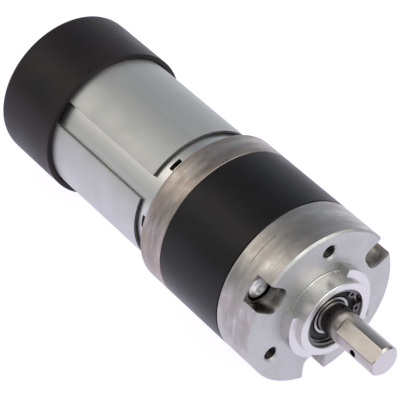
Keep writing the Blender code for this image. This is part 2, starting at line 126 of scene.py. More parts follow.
PARTING_FRONT = -8.55
PARTING_DEPTH = 0.12
PARTING_ANGLES = (-44, -20)

# The housing screws, each with a cross recess that is turned by its own angle.
SCREW_LETTERS = "abc"
RECESS_ANGLES = (31, 81, 51)
RECESS_LENGTH = 3.1
RECESS_WIDTH = 0.85
RECESS_DEPTH = 1.5
HEAD_HEIGHT = 2.2
SHANK_RADIUS = 1.45

# The output shaft with its flat and cross hole, its front bearing and the ring that holds it.
SHAFT_RADIUS = 4.0
FLAT_DISTANCE = 3.5
FLAT_BACK = 9.3
FLAT_ANGLE = -38.5
CROSS_HOLE_RADIUS = 0.95
CROSS_HOLE_STATION = 15.7
CROSS_HOLE_ANGLE = -92
BEARING_RADIUS = 8.0
BEARING_GAP = 0.2
OUTER_RING_BORE = 6.9
INNER_RING_RADIUS = 5.0
RETAINER_INNER_RADIUS = 7.1
RETAINER_OUTER_RADIUS = 8.3
RETAINER_GAP_ANGLE = 75
RETAINER_HALF_GAP = 12
EAR_INNER_RADIUS = 5.9
EAR_OUTER_RADIUS = 7.6
EAR_SPAN = 19
EYE_CIRCLE_RADIUS = 6.7
EYE_RADIUS = 0.5

# The motor: a can with windows, a rolled sleeve, and a cover with slots for two blade terminals.
CAN_WALL = 0.9
CAN_FRONT_WALL = 1.4
CAN_BORE_RADIUS = 4.2
MOTOR_SCREW_OFFSET = 12.5
WINDOW_ANGLES = (-26.5, -80, 153.5, 100)
WINDOW_WIDTH = 3.4
WINDOW_BACK = -46.2
WINDOW_FRONT = -44.9
SLEEVE_WALL = 0.72
SLEEVE_START = -43.6
SLEEVE_END = 296.5
CAP_WALL = 1.25
CAP_FLOOR = 1.6
CAP_RIM_RADIUS = 15.9
CAP_RECESS = 0.35
BOSS_WIDTH = 3.0
BOSS_HEIGHT = 5.8
SLOT_WIDTH = 1.1
SLOT_HEIGHT = 3.3
TERMINAL_OFFSET = 10.5
TERMINAL_THICKNESS = 0.6
TERMINAL_WIDTH = 2.8
TERMINAL_TIP_WIDTH = 1.8

# The camera, at the photograph's viewing angle: its angles round the object are in degrees, its
# distance and shifts in metres, and its lens in millimetres.
CAMERA_AZIMUTH = -36.87
CAMERA_ELEVATION = 41.14
CAMERA_DISTANCE = 0.5505
CAMERA_LENS = 205.8
CAMERA_SHIFT_LEFT = 0.00216
CAMERA_SHIFT_UP = 0.00191

# The floor's glow is even out to the first distance and dimmer from the second on, in metres.
GLOW_START = 0.12
GLOW_END = 0.4


# Outlines, as lists of (x, y).


def at_clock(radius, degrees):
    angle = math.radians(degrees)
    return radius * math.sin(angle), radius * math.cos(angle)


def circle(radius, sides=BORE_SIDES, centre=(0, 0)):
    turns = [2 * math.pi * step / sides for step in range(sides)]
    return [(centre[0] + radius * math.cos(t), centre[1] + radius * math.sin(t)) for t in turns]


def turned(outline, degrees):
    """The outline turned clockwise by this clock angle."""
    angle = math.radians(degrees)
    c, s = math.cos(angle), math.sin(angle)
    return [(x * c + y * s, y * c - x * s) for x, y in outline]


def arc(radius, start, end):
    """Points along a circle between two clock angles, at most ARC_PITCH degrees apart."""
    steps = max(2, math.ceil((end - start) / ARC_PITCH))
    return [at_clock(radius, start + (end - start) * step / steps) for step in range(steps + 1)]


def sector(inner, outer, start, end):
    return arc(outer, start, end) + arc(inner, start, end)[::-1]


def rounded(corners, steps=5):
    """A closed outline from corners (x, y, radius), with each corner rounded by its radius."""
    points = []
    for i, (x, y, radius) in enumerate(corners):
        here = Vector((x, y))
        before = Vector(corners[i - 1][:2]) - here
        after = Vector(corners[(i + 1) % len(corners)][:2]) - here
        if radius == 0:
            points.append((x, y))
            continue
        reach = radius / math.tan(before.angle(after) / 2)
        start = here + before.normalized() * min(reach, 0.49 * before.length)
        end = here + after.normalized() * min(reach, 0.49 * after.length)
        for step in range(steps + 1):
            t = step / steps
            points.append(tuple(start * (1 - t) ** 2 + here * 2 * t * (1 - t) + end * t * t))
    return points


def rounded_box(left, right, low, high, radius):
    corners = [(left, low), (right, low), (right, high), (left, high)]
    return rounded([(x, y, radius) for x, y in corners])


# Solids.


def clock_turn(degrees):
    """A turn about the shaft's axis, clockwise by this angle."""
    return Matrix.Rotation(-math.radians(degrees), 4, "Z")


def laid(axes):
    """A turn that lays a plate's x, y and thickness along these axes of the shaft's frame."""
    turn = Matrix.Diagonal((0, 0, 0, 1))
    for column, axis in enumerate(axes):
        turn["xyz".index(axis)][column] = 1
    return turn


def show(name, data):
    """Puts a new object with this data in the scene."""
    made = bpy.data.objects.new(name, data)
    bpy.context.scene.collection.objects.link(made)
    return made


def add_object(name, shape, place=Matrix.Identity(4)):
    """An object from a bmesh in millimetres, with its mesh in the row frame."""
    bmesh.ops.remove_doubles(shape, verts=shape.verts, dist=1e-4)
    bmesh.ops.transform(shape, matrix=TO_ROW_FRAME @ place, verts=shape.verts)
    bmesh.ops.recalc_face_normals(shape, faces=shape.faces)
    mesh = bpy.data.meshes.new(name)
    shape.to_mesh(mesh)
    shape.free()
    return show(name, mesh)


def lathe(name, profile, sides=SIDES, place=Matrix.Identity(4)):
    """A turned solid from a closed profile of (radius, z)."""
    shape = bmesh.new()
    rings = []
    for step in range(sides):
        angle = 2 * math.pi * step / sides
        across, up = math.cos(angle), math.sin(angle)
        rings.append([shape.verts.new((r * across, r * up, z)) for r, z in profile])
    for step in range(sides):
        near, far = rings[step - 1], rings[step]
        for i in range(len(profile)):
            shape.faces.new((near[i - 1], near[i], far[i], far[i - 1]))
    bmesh.ops.dissolve_degenerate(shape, dist=1e-4, edges=shape.edges)
    return add_object(name, shape, place)


def slab(name, loops, back, front, place=Matrix.Identity(4)):
    """A plate whose edge is the first loop; the other loops are holes in it."""
    shape = bmesh.new()
    edges = []
    for loop in loops:
        points = [shape.verts.new((x, y, back)) for x, y in loop]
        edges += [shape.edges.new((points[i - 1], points[i])) for i in range(len(points))]
    filled = bmesh.ops.triangle_fill(shape, edges=edges, use_beauty=True)["geom"]
    faces = [item for item in filled if isinstance(item, bmesh.types.BMFace)]
    raised = bmesh.ops.extrude_face_region(shape, geom=faces)["geom"]
    points = [item for item in raised if isinstance(item, bmesh.types.BMVert)]
    bmesh.ops.translate(shape, vec=(0, 0, front - back), verts=points)
    return add_object(name, shape, place)


def apply_modifiers(made):
    graph = bpy.context.evaluated_depsgraph_get()
    mesh = bpy.data.meshes.new_from_object(made.evaluated_get(graph))
    made.modifiers.clear()
    made.data = mesh


def combine(made, helper, operation="DIFFERENCE"):
    """Cuts the helper from the piece, or joins it on, and removes the helper."""
    modifier = made.modifiers.new("shape", "BOOLEAN")
    modifier.operation = operation
    modifier.object = helper
    apply_modifiers(made)
    bpy.data.objects.remove(helper)


def smooth(made, bevel=0.0, angle=32):
    """Rounds the edges sharper than this angle by this many millimetres, and shades the rest smooth."""
    made.data.shade_smooth()
    if bevel:
        modifier = made.modifiers.new("edges", "BEVEL")
        modifier.width = bevel * MM
        modifier.segments = 2
        modifier.limit_method = "ANGLE"
        modifier.angle_limit = math.radians(angle)
        modifier.use_clamp_overlap = True
        apply_modifiers(made)
    made.data.shade_smooth()
    made.data.set_sharp_from_angle(angle=math.radians(angle))
    made.modifiers.new("normals", "WEIGHTED_NORMAL").keep_sharp = True


def fit(made, body, node, material):
    """Puts a finished piece in place of its CAD node."""
    made.data.materials.clear()
    made.data.materials.append(material)
    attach(made, body)
    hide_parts(node)


# Materials.


class Painter:
    """A node material under construction, with coordinates in the shaft's frame in millimetres."""

    def __init__(self, name):
        self.material = bpy.data.materials.new(name)
        self.material.use_nodes = True
        self.nodes = self.material.node_tree.nodes
        self.links = self.material.node_tree.links
        self.shader = self.nodes["Principled BSDF"]
        place = self.nodes.new("ShaderNodeTexCoord").outputs["Object"]
        turn = self.add("ShaderNodeMapping", Vector=place)
        turn.inputs["Location"].default_value = (0, -AXIS_Z / MM, FACE_Y / MM)
        turn.inputs["Rotation"].default_value = (-math.pi / 2, 0, 0)
        turn.inputs["Scale"].default_value = (1 / MM, 1 / MM, 1 / MM)
        self.place = turn.outputs["Vector"]
        parts = self.add("ShaderNodeSeparateXYZ", Vector=self.place)
        self.x, self.y, self.z = (parts.outputs[axis] for axis in "XYZ")
        across = self.math("MULTIPLY", self.x, self.x)
        up = self.math("MULTIPLY", self.y, self.y)
        self.radius = self.math("SQRT", self.math("ADD", across, up))

    def add(self, kind, **inputs):
        node = self.nodes.new(kind)
        for name, value in inputs.items():
            self.feed(node.inputs[name], value)
        return node

    def feed(self, socket, value):
        if isinstance(value, bpy.types.NodeSocket):
            self.links.new(value, socket)
        elif socket.type == "RGBA" and len(value) == 3:
            socket.default_value = (*value, 1)
        else:
            socket.default_value = value

    def math(self, operation, first, second=0.0):
        node = self.nodes.new("ShaderNodeMath")
        node.operation = operation
        self.feed(node.inputs[0], first)
        self.feed(node.inputs[1], second)
        return node.outputs[0]

    def both(self, first, second):
        """A mask that is 1 where both of these are."""
        return self.math("MULTIPLY", first, second)

    def vector(self, x, y, z):
        return self.add("ShaderNodeCombineXYZ", X=x, Y=y, Z=z).outputs[0]

    def nearest(self, centres):
        """How far the surface is from the nearest of these axes, each parallel to the shaft."""
        flat = self.vector(self.x, self.y, 0.0)
        least = None
        for centre in centres:
            node = self.add("ShaderNodeVectorMath")
            node.operation = "DISTANCE"
            self.feed(node.inputs[0], flat)
            self.feed(node.inputs[1], (*centre, 0.0))
            away = node.outputs["Value"]
            least = away if least is None else self.math("MINIMUM", least, away)
        return least

    def turning(self, along, across=0.02):
        """Coordinates for marks that run round the axis, such as a lathe leaves."""
        travel = self.math("ADD", self.radius, self.math("MULTIPLY", self.z, 1.7))
        x, y = self.math("MULTIPLY", self.x, across), self.math("MULTIPLY", self.y, across)
        return self.vector(x, y, self.math("MULTIPLY", travel, along))

    def drawing(self, across, along=0.03):
        """Coordinates for marks that run along the axis."""
        x, y = self.math("MULTIPLY", self.x, across), self.math("MULTIPLY", self.y, across)
        return self.vector(x, y, self.math("MULTIPLY", self.z, along))

    def noise(self, scale=1.0, vector=None, detail=3.0, distortion=0.0):
        node = self.add(
            "ShaderNodeTexNoise", Vector=vector or self.place, Scale=scale, Detail=detail,
            Roughness=0.55, Distortion=distortion,
        )
        return node.outputs[0]

    def spread(self, value, low, high, start=0.35, end=0.65):
        """A value from start to end becomes one from low to high."""
        node = self.nodes.new("ShaderNodeMapRange")
        for name, number in zip(("From Min", "From Max", "To Min", "To Max"), (start, end, low, high)):
            node.inputs[name].default_value = number
        self.feed(node.inputs["Value"], value)
        return node.outputs[0]

    def blend(self, factor, first, second):
        """The first colour where the factor is 0, and the second where it is 1."""
        node = self.nodes.new("ShaderNodeMix")
        node.data_type = "RGBA"
        self.feed(node.inputs[0], factor)
        self.feed(node.inputs[6], first)
        self.feed(node.inputs[7], second)
        return node.outputs[2]

    def bump(self, height, depth, normal=None):
        """Raises the surface by height times this many millimetres."""
        node = self.add("ShaderNodeBump", Height=height, Distance=depth * MM)
        if normal is not None:
            self.feed(node.inputs["Normal"], normal)
        return node.outputs[0]

    def finish(self, colour, roughness, metallic=0.0, normal=None, **others):
        """Feeds the shader. An input's name has underscores for its spaces."""
        self.feed(self.shader.inputs["Base Color"], colour)
        self.feed(self.shader.inputs["Roughness"], roughness)
        self.feed(self.shader.inputs["Metallic"], metallic)
        if normal is not None:
            self.feed(self.shader.inputs["Normal"], normal)
        for name, value in others.items():
            self.feed(self.shader.inputs[name.replace("_", " ")], value)
        return self.material


def cast_noises(paint, marks=9.0):
    """Fine and broad rings round the axis, blotches and specks, as on turned or die-cast metal."""
    fine = paint.noise(1.0, paint.turning(marks), detail=4)
    broad = paint.noise(1.0, paint.turning(0.35, 0.12), detail=2)
    blotch = paint.noise(0.2, detail=4, distortion=0.6)
    speckle = paint.noise(2.2, detail=3)
    return fine, broad, blotch, speckle


def turned_metal(name, dark, light, stain, roughness=0.34, depth=0.008, marks=9.0, streaks=0.35):
    """Turned or die-cast metal: fine rings round the axis, blotches, stains and small pits."""
    paint = Painter(name)
    fine, broad, blotch, speckle = cast_noises(paint, marks)
    colour = paint.blend(paint.spread(broad, 0, 1), dark, light)
    colour = paint.blend(paint.spread(blotch, 0, 0.8), colour, stain)
    colour = paint.blend(paint.spread(fine, 0, streaks), colour, light)
    colour = paint.blend(paint.spread(speckle, 0, 0.35, 0.56, 0.72), colour, dark)
    rough = paint.math("ADD", paint.spread(blotch, -0.06, 0.08), paint.spread(fine, -0.04, 0.04))
    rough = paint.math("ADD", rough, roughness)
    normal = paint.bump(fine, depth)
    normal = paint.bump(speckle, depth, normal)
    return paint.finish(colour, rough, 1.0, normal)


def flange_metal():
    """The flange's casting: stained round the rim, with a clean machined face, nose and pilot boss.

    The corner round the nose is darkened with painted shade, the screw pockets are darkened with
    painted shade, and the threads and the sinks round the screw heads are painted near black as shade.
    """
    paint = Painter("cast_zinc")
    fine, broad, blotch, speckle = cast_noises(paint)
    colour = paint.blend(paint.spread(broad, 0, 1), (0.275, 0.265, 0.255), (0.48, 0.46, 0.45))
    colour = paint.blend(paint.spread(blotch, 0, 0.8), colour, (0.35, 0.31, 0.275))
    colour = paint.blend(paint.spread(fine, 0, 0.15), colour, (0.50, 0.475, 0.465))
    faced = paint.blend(paint.spread(speckle, 0, 1), (0.45, 0.45, 0.435), (0.53, 0.525, 0.51))
    face = paint.spread(paint.z, 0, 1, -0.7, -0.6)
    colour = paint.blend(face, colour, faced)
    colour = paint.blend(paint.spread(speckle, 0, 0.35, 0.56, 0.72), colour, (0.34, 0.325, 0.32))
    # Painted shade: the face darkens in the corner round the nose's root.
    corner = paint.spread(paint.radius, 0.7, 0, NOSE_RADIUS + 0.15, NOSE_RADIUS + 0.5)
    colour = paint.blend(paint.both(face, corner), colour, (0.10, 0.095, 0.09))
    proud = paint.spread(paint.z, 0, 1, 0.02, 0.12)
    colour = paint.blend(proud, colour, (0.63, 0.62, 0.61))
    inside = paint.spread(paint.radius, 1, 0, GEARBOX_RADIUS - 0.15, GEARBOX_RADIUS - 0.05)
    # Painted shade: inside the rim, the pockets and other faces sunk below the face are darkened.
    sunk = paint.both(inside, paint.spread(paint.z, 0.25, 0, -1.6, -0.4))
    colour = paint.blend(sunk, colour, (0.12, 0.10, 0.08))
    tap = paint.nearest([at_clock(HOLE_CIRCLE_RADIUS, angle) for angle in HOLE_ANGLES])
    tapped = paint.both(paint.spread(tap, 1, 0, 2.2, 2.4), paint.spread(paint.z, 0.95, 0, -0.7, -0.3))
    sink = paint.nearest([screw_centre(letter) for letter in SCREW_LETTERS])
    below = paint.spread(paint.z, 0.95, 0, -POCKET_DEPTH - 0.3, -POCKET_DEPTH - 0.05)
    sinks = paint.both(paint.spread(sink, 1, 0, SINK_RADIUS + 0.05, SINK_RADIUS + 0.2), below)
    # Painted shade: the tapped holes and the sinks round the screw heads are painted near black.
    painted_hole_shade = paint.both(inside, paint.math("MAXIMUM", tapped, sinks))
    colour = paint.blend(painted_hole_shade, colour, (0.012, 0.010, 0.008))
    rough = paint.math("ADD", paint.spread(blotch, -0.06, 0.08), paint.spread(fine, -0.04, 0.04))
    duller = paint.math("MULTIPLY", paint.math("SUBTRACT", face, proud), 0.16)
    rough = paint.math("ADD", paint.math("ADD", rough, duller), 0.30)
    normal = paint.bump(fine, 0.008)
    normal = paint.bump(speckle, 0.008, normal)
    return paint.finish(colour, rough, 1.0, normal)


def shaft_metal():
    """The shaft's ground steel, with marks round it, and a milled flat and a turned end, both lighter.

    The flat's edges are dark lines, and the insides of the bores are painted near black as shade.
    """
    paint = Painter("ground_steel")
    fine = paint.noise(1.0, paint.turning(9.0), detail=4)
    milled = paint.noise(1.0, paint.drawing(6.0, 0.2), detail=2)
    blotch = paint.noise(0.25, detail=3)
    colour = paint.blend(paint.spread(fine, 0, 1), (0.40, 0.365, 0.345), (0.475, 0.44, 0.42))
    colour = paint.blend(paint.spread(blotch, 0, 0.4), colour, (0.39, 0.35, 0.325))
    across, up = at_clock(1, FLAT_ANGLE)
    reach = paint.math("ADD", paint.math("MULTIPLY", paint.x, across), paint.math("MULTIPLY", paint.y, up))
    along = paint.spread(paint.z, 0, 1, FLAT_BACK, FLAT_BACK + 0.1)
    flat = paint.both(paint.spread(reach, 0, 1, FLAT_DISTANCE - 0.06, FLAT_DISTANCE - 0.03), along)
    edge = paint.both(paint.spread(reach, 0, 0.75, FLAT_DISTANCE - 0.18, FLAT_DISTANCE - 0.10), along)
    colour = paint.blend(edge, colour, (0.12, 0.10, 0.09))
    on_flat = paint.blend(paint.spread(milled, 0, 1), (0.42, 0.385, 0.355), (0.46, 0.425, 0.395))
    colour = paint.blend(flat, colour, on_flat)
    end = paint.spread(paint.z, 0, 1, SHAFT_TIP - 0.12, SHAFT_TIP - 0.06)
    colour = paint.blend(end, colour, (0.56, 0.53, 0.525))
    # Painted shade: the insides of the bores, such as the cross hole, are painted near black.
    deep = paint.spread(paint.radius, 0.9, 0, FLAT_DISTANCE - 0.5, FLAT_DISTANCE - 0.2)
    bore_shade = paint.both(deep, paint.spread(paint.z, 1, 0, SHAFT_TIP - 0.6, SHAFT_TIP - 0.5))
    colour = paint.blend(bore_shade, colour, (0.02, 0.017, 0.015))
    rough = paint.math("ADD", paint.spread(blotch, 0.18, 0.24), paint.math("MULTIPLY", flat, 0.05))
    return paint.finish(colour, rough, 1.0, paint.bump(fine, 0.0015))


def drawn_metal(name, dark, light, stain, roughness, depth=0.003, cut=None):
    """Rolled or drawn metal with faint streaks along the axis and a fine spangle.

    If cut is given, the metal's front end is at that station, and painted shade darkens its cut edge.
    """
    paint = Painter(name)
    fine = paint.noise(1.0, paint.drawing(3.0), detail=3)
    blotch = paint.noise(0.12, detail=3, distortion=0.4)
    speckle = paint.noise(3.5, detail=2)
    colour = paint.blend(paint.spread(fine, 0, 1), dark, light)
    colour = paint.blend(paint.spread(blotch, 0, 0.6), colour, stain)
    if cut is not None:
        # Painted shade along the front cut edge, where the sleeve steps down to the can.
        edge = paint.spread(paint.z, 0, 0.85, cut - 0.1, cut - 0.04)
        colour = paint.blend(edge, colour, (0.06, 0.06, 0.06))
    rough = paint.math("ADD", paint.spread(blotch, -0.04, 0.05), paint.spread(fine, -0.03, 0.03))
    rough = paint.math("ADD", rough, roughness)
    normal = paint.bump(fine, depth)
    normal = paint.bump(speckle, depth, normal)
    return paint.finish(colour, rough, 1.0, normal)


def grained(name, dark, light, roughness, grain, depth, metallic=0.0, specular=0.5):
    """Plastic, rubber, carbon, ferrite or a coating, with an even grain and faint clouds."""
    paint = Painter(name)
    cells = paint.noise(grain, detail=3)
    clouds = paint.noise(0.06, detail=3)
    colour = paint.blend(paint.spread(clouds, 0, 1), dark, light)
    colour = paint.blend(paint.spread(cells, 0, 0.3), colour, light)
    rough = paint.math("ADD", paint.spread(clouds, -0.05, 0.05), paint.spread(cells, -0.04, 0.04))
    rough = paint.math("ADD", rough, roughness)
    normal = paint.bump(cells, depth)
    return paint.finish(colour, rough, metallic, normal, Specular_IOR_Level=specular)


def make_materials():
    """One material for each finish in the record, and a browner casting for the adapter."""
    return {
        "cast_zinc": flange_metal(),
        "adapter_zinc": turned_metal(
            "adapter_zinc", (0.20, 0.18, 0.17), (0.45, 0.41, 0.385), (0.35, 0.275, 0.22), streaks=0.15
        ),
        "black_oxide": grained(
            "black_oxide", (0.0055, 0.005, 0.0055), (0.010, 0.0085, 0.0095),
            roughness=0.36, grain=3.2, depth=0.004, specular=0.2,
        ),
        "black_plastic": grained(
            "black_plastic", (0.0055, 0.005, 0.0055), (0.017, 0.009, 0.0105),
            roughness=0.42, grain=2.4, depth=0.008, specular=0.22,
        ),
        "plated_can": drawn_metal(
            "plated_can", (0.55, 0.55, 0.535), (0.61, 0.61, 0.595), (0.55, 0.55, 0.52),
            roughness=0.33, depth=0.002,
        ),
        "plated_sleeve": drawn_metal(
            "plated_sleeve", (0.52, 0.52, 0.505), (0.56, 0.56, 0.55), (0.52, 0.525, 0.50),
            roughness=0.54, cut=SLEEVE_FRONT,
        ),
        "ground_steel": shaft_metal(),
        "gear_steel": turned_metal(
            "gear_steel", (0.28, 0.27, 0.26), (0.42, 0.41, 0.40), (0.30, 0.27, 0.24), depth=0.006
        ),
        "bearing_steel": turned_metal(
            "bearing_steel", (0.33, 0.33, 0.33), (0.42, 0.42, 0.42), (0.35, 0.34, 0.33),
            roughness=0.26, depth=0.002,
        ),
        "screw_steel": grained(
            "screw_steel", (0.72, 0.71, 0.70), (0.86, 0.85, 0.85),
            roughness=0.3, grain=3.0, depth=0.004, metallic=0.8,
        ),
        "spring_steel": grained(
            "spring_steel", (0.11, 0.105, 0.10), (0.18, 0.17, 0.165),
            roughness=0.34, grain=3.0, depth=0.004, metallic=1.0,
        ),
        "ferrite": grained(
            "ferrite", (0.028, 0.028, 0.031), (0.05, 0.05, 0.055),
            roughness=0.6, grain=2.0, depth=0.02, metallic=0.1,
        ),
        "core_steel": turned_metal(
            "core_steel", (0.13, 0.14, 0.15), (0.30, 0.31, 0.32), (0.2, 0.2, 0.2),
            roughness=0.45, depth=0.03, marks=6.0,
        ),
        "copper": turned_metal(
            "copper", (0.50, 0.15, 0.06), (0.85, 0.36, 0.18), (0.66, 0.24, 0.10),
            roughness=0.3, depth=0.03, marks=5.0,
        ),
        "bronze": turned_metal(
            "bronze", (0.42, 0.27, 0.11), (0.60, 0.42, 0.20), (0.45, 0.30, 0.14), roughness=0.42
        ),
        "carbon": grained(
            "carbon", (0.03, 0.03, 0.03), (0.06, 0.06, 0.06), roughness=0.65, grain=2.0, depth=0.02
        ),
        "tin": drawn_metal(
            "tin", (0.62, 0.61, 0.57), (0.78, 0.77, 0.74), (0.6, 0.58, 0.52), roughness=0.28
        ),
        "nylon": grained(
            "nylon", (0.52, 0.49, 0.42), (0.64, 0.61, 0.54), roughness=0.5, grain=1.5, depth=0.01
        ),
        "nitrile": grained(
            "nitrile", (0.008, 0.008, 0.009), (0.016, 0.016, 0.017), roughness=0.55, grain=2.0, depth=0.012
        ),
    }


# The gearbox.


def screw_centre(letter):
    """The axis of a housing screw, across the shaft's axis."""
    low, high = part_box(f"housing_screw_{letter}")
    return (low.x + high.x) / 2 / MM, ((low.z + high.z) / 2 - AXIS_Z) / MM


def pocket_outline(angle):
    half = POCKET_WIDTH / 2
    low, high = POCKET_INNER_RADIUS, GEARBOX_RADIUS + 3
    corner = POCKET_CORNER
    corners = [(-half, low, corner), (half, low, corner), (half, high, 0), (-half, high, 0)]
    return turned(rounded(corners, 8), angle)


def tapped_hole(centre):
    """A cutter for a threaded hole in the face, with a countersunk mouth."""
    minor, major, pitch = THREAD_MINOR_RADIUS, THREAD_MAJOR_RADIUS, THREAD_PITCH
    profile = [(0, -HOLE_DEPTH), (minor, -HOLE_DEPTH)]
    for ridge in range(int((HOLE_DEPTH - 1) / pitch)):
        low = -HOLE_DEPTH + 0.3 + ridge * pitch
        profile += [(minor, low), (major, low + 0.4 * pitch)]
        profile += [(major, low + 0.6 * pitch), (minor, low + pitch)]
    mouth = major + 0.25
    profile += [(minor, -0.5), (mouth, 0), (mouth, CUT_PAST), (0, CUT_PAST)]
    return lathe("tap", profile, 32, Matrix.Translation((*centre, 0)))


def flange_blank():
    """The turned flange, with seats for both bearings and a groove for the retaining ring."""
    seat = BEARING_RADIUS
    between = seat - 1.5
    front_seat, groove = BEARING_BACK - 0.2, BEARING_FRONT
    rear_seat = FLANGE_BACK + 6.1
    return lathe("flange_casting", rounded([
        (seat, NOSE_FRONT, 0.45), (NOSE_RADIUS, NOSE_FRONT, 0.5), (NOSE_RADIUS, 0, 0.35),
        (GEARBOX_RADIUS - 0.55, 0, 0.12), (GEARBOX_RADIUS, -0.55, 0.2),
        (GEARBOX_RADIUS, FLANGE_BACK, 0.25), (seat, FLANGE_BACK, 0), (seat, rear_seat, 0),
        (between, rear_seat, 0), (between, front_seat, 0), (seat, front_seat, 0),
        (seat, groove, 0), (seat + 0.5, groove, 0), (seat + 0.5, groove + 1, 0), (seat, groove + 1, 0),
    ], 4))


def build_flange(materials):
    flange = flange_blank()
    half = PILOT_SPAN / 2
    for angle in PILOT_ANGLES:
        outline = sector(NOSE_RADIUS - PILOT_OVERLAP, PILOT_RADIUS, angle - half, angle + half)
        combine(flange, slab("pilot", [outline], PILOT_ROOT, PILOT_FRONT), "UNION")
    for letter in SCREW_LETTERS:
        centre = screw_centre(letter)
        angle = math.degrees(math.atan2(*centre))
        combine(flange, slab("pocket", [pocket_outline(angle)], -POCKET_DEPTH, CUT_PAST))
        combine(flange, slab("sink", [circle(SINK_RADIUS, 48, centre)], -SINK_DEPTH, SINK_TOP))
        clearance = circle(CLEARANCE_RADIUS, 32, centre)
        combine(flange, slab("clearance", [clearance], FLANGE_BACK - CUT_PAST, -SINK_DEPTH + 0.3))
    for angle in HOLE_ANGLES:
        combine(flange, tapped_hole(at_clock(HOLE_CIRCLE_RADIUS, angle)))
    parting = sector(GEARBOX_RADIUS - PARTING_DEPTH, GEARBOX_RADIUS + CUT_PAST, *PARTING_ANGLES)
    combine(flange, slab("parting", [parting], PARTING_BACK, PARTING_FRONT))
    smooth(flange, 0.16, 38)
    fit(flange, "housing", "front_flange", materials["cast_zinc"])


def refined(name, node, profile):
    """The CAD node's inner shape inside a fine turned envelope.

    The node's outer faces are pushed out past the envelope, so only its inner faces shape the piece.
    """
    source = frame["nodes"][node]
    core = show("core", source.data.copy())
    back, front = stations(node)
    skin = radius_of(node) - 0.3
    to_shaft = TO_ROW_FRAME.inverted()
    for vertex in core.data.vertices:
        spot = to_shaft @ vertex.co
        if math.hypot(spot.x, spot.y) > skin:
            spot.x, spot.y = spot.x * 1.1, spot.y * 1.1
        if spot.z > front - 0.05:
            spot.z += 1
        if spot.z < back + 0.05:
            spot.z -= 1
        vertex.co = TO_ROW_FRAME @ spot
    made = lathe(name, profile)
    combine(made, core, "INTERSECT")
    return made


def build_rings(materials):
    radius = GEARBOX_RADIUS
    profile = rounded([
        (0, RING_BACK, 0), (radius, RING_BACK, 0.22), (radius, RING_FRONT, 0.22), (0, RING_FRONT, 0)
    ], 4)
    ring = refined("ring_gear_fine", "ring_gear", profile)
    smooth(ring)
    fit(ring, "housing", "ring_gear", materials["black_oxide"])
    profile = rounded([
        (0, ADAPTER_BACK, 0), (radius, ADAPTER_BACK, 0.5), (radius, ADAPTER_FRONT, 0.25),
        (0, ADAPTER_FRONT, 0)
    ], 4)
    adapter = refined("adapter_casting", "motor_adapter", profile)
    smooth(adapter)
    fit(adapter, "housing", "motor_adapter", materials["adapter_zinc"])


def cross_blade():
    """One blade of a cross-head recess, tapering inwards."""
    shape = bmesh.new()
    rings = []
    length, width = RECESS_LENGTH, RECESS_WIDTH
    for z, long, wide in ((-RECESS_DEPTH, length * 0.3, width * 0.6), (0.3, length, width)):
        x, y = long / 2, wide / 2
        rings.append([shape.verts.new((*corner, z)) for corner in ((-x, -y), (x, -y), (x, y), (-x, y))])
    low, high = rings
    shape.faces.new(low[::-1])
    shape.faces.new(high)
    for i in range(4):
        shape.faces.new((low[i - 1], low[i], high[i], high[i - 1]))
    return shape


def build_screws(materials):
    for letter, recess_angle in zip(SCREW_LETTERS, RECESS_ANGLES):
        node, centre = f"housing_screw_{letter}", screw_centre(letter)
        back, front = stations(node)
        head, seat, shank = radius_of(node), front - HEAD_HEIGHT, SHANK_RADIUS
        profile = rounded([
            (0, front, 0), (head * 0.55, front - 0.05, 0.5), (head, front - 0.75, 0.5),
            (head, seat, 0.15), (shank, seat, 0), (shank, back + 0.6, 0), (1.0, back, 0), (0, back, 0),
        ], 5)
        place = Matrix.Translation((*centre, 0))
        screw = lathe(f"{node}_fine", profile, 64, place)
        for angle in (recess_angle, recess_angle + 90):
            turn = Matrix.Rotation(math.radians(angle), 4, "Z")
            on_head = place @ Matrix.Translation((0, 0, front)) @ turn
            combine(screw, add_object("recess", cross_blade(), on_head))
        smooth(screw, 0.05, 40)
        fit(screw, "housing", node, materials["screw_steel"])


# The output shaft and what holds it.


def build_shaft(materials):
    profile = rounded([
        (0, SHAFT_BACK, 0), (SHAFT_RADIUS - 0.4, SHAFT_BACK, 0.1), (SHAFT_RADIUS, SHAFT_BACK + 0.4, 0.1),
        (SHAFT_RADIUS, SHAFT_TIP - 0.5, 0.15), (SHAFT_RADIUS - 0.5, SHAFT_TIP, 0.15), (0, SHAFT_TIP, 0),
    ], 4)
    shaft = lathe("output_shaft_fine", profile, 128)
    near, far = FLAT_DISTANCE, FLAT_DISTANCE + 4
    back, front = FLAT_BACK, SHAFT_TIP + CUT_PAST
    waste = [(back, near), (front, near), (front, far), (back, far)]
    combine(shaft, slab("flat", [waste], -6, 6, clock_turn(FLAT_ANGLE) @ laid("zyx")))
    across = clock_turn(CROSS_HOLE_ANGLE) @ Matrix.Rotation(math.radians(90), 4, "X")
    drill = [(0, -6), (CROSS_HOLE_RADIUS, -6), (CROSS_HOLE_RADIUS, 6), (0, 6)]
    place = Matrix.Translation((0, 0, CROSS_HOLE_STATION)) @ across
    combine(shaft, lathe("drill", drill, 40, place))
    smooth(shaft, 0.07, 25)
    fit(shaft, "output", "output_shaft", materials["ground_steel"])


